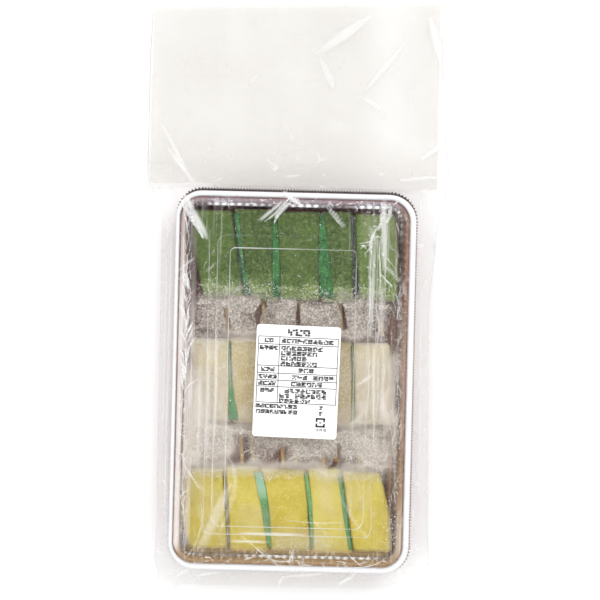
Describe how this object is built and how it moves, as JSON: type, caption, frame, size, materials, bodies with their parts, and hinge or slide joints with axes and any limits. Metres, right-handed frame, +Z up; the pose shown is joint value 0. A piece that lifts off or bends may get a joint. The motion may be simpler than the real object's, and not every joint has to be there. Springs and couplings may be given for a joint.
{
  "type": "frozen wheat gluten skewer pack",
  "caption": "Clear bag holding a lidded tray of wheat gluten skewers in green, white and yellow rows, with a plain printed label on top and the bag's empty tail folded under.",
  "frame": {"origin": "middle of the footprint of the whole pack, on the surface that it lies on", "axes": "+X across the pack, +Y along it towards the bag's folded tail, +Z up"},
  "size_m": [0.1776, 0.3524, 0.0291],
  "materials": {
    "bag_film": "clear polythene film, slightly hazy",
    "lid_plastic": "clear formed lid, glossy",
    "tray_plastic": "dark maroon formed plastic, satin",
    "green_gluten": "soft frozen dough, frosted",
    "white_gluten": "soft frozen dough, frosted",
    "yellow_gluten": "soft frozen dough, frosted",
    "bamboo": "split bamboo, plain",
    "divider_film": "thin green film",
    "label_paper": null
  },
  "bodies": {
    "root": {"bag": "bag_film", "lid": "lid_plastic", "tray": "tray_plastic", "label": "label_paper", "green_block_1": "green_gluten", "green_block_2": "green_gluten", "green_block_3": "green_gluten", "green_block_4": "green_gluten", "green_block_5": "green_gluten", "green_stick_1": "bamboo", "green_stick_2": "bamboo", "green_stick_3": "bamboo", "green_stick_4": "bamboo", "green_stick_5": "bamboo", "white_block_1": "white_gluten", "white_block_2": "white_gluten", "white_block_3": "white_gluten", "white_block_4": "white_gluten", "white_block_5": "white_gluten", "white_stick_1": "bamboo", "white_stick_2": "bamboo", "white_stick_3": "bamboo", "white_stick_4": "bamboo", "white_stick_5": "bamboo", "yellow_block_1": "yellow_gluten", "yellow_block_2": "yellow_gluten", "yellow_block_3": "yellow_gluten", "yellow_block_4": "yellow_gluten", "yellow_block_5": "yellow_gluten", "yellow_stick_1": "bamboo", "yellow_stick_2": "bamboo", "yellow_stick_3": "bamboo", "yellow_stick_4": "bamboo", "yellow_stick_5": "bamboo", "green_divider_1": "divider_film", "green_divider_2": "divider_film", "green_divider_3": "divider_film", "green_divider_4": "divider_film", "white_divider_1": "divider_film", "white_divider_4": "divider_film", "yellow_divider_1": "divider_film", "yellow_divider_2": "divider_film", "yellow_divider_3": "divider_film", "yellow_divider_4": "divider_film"}
  },
  "joints": []
}
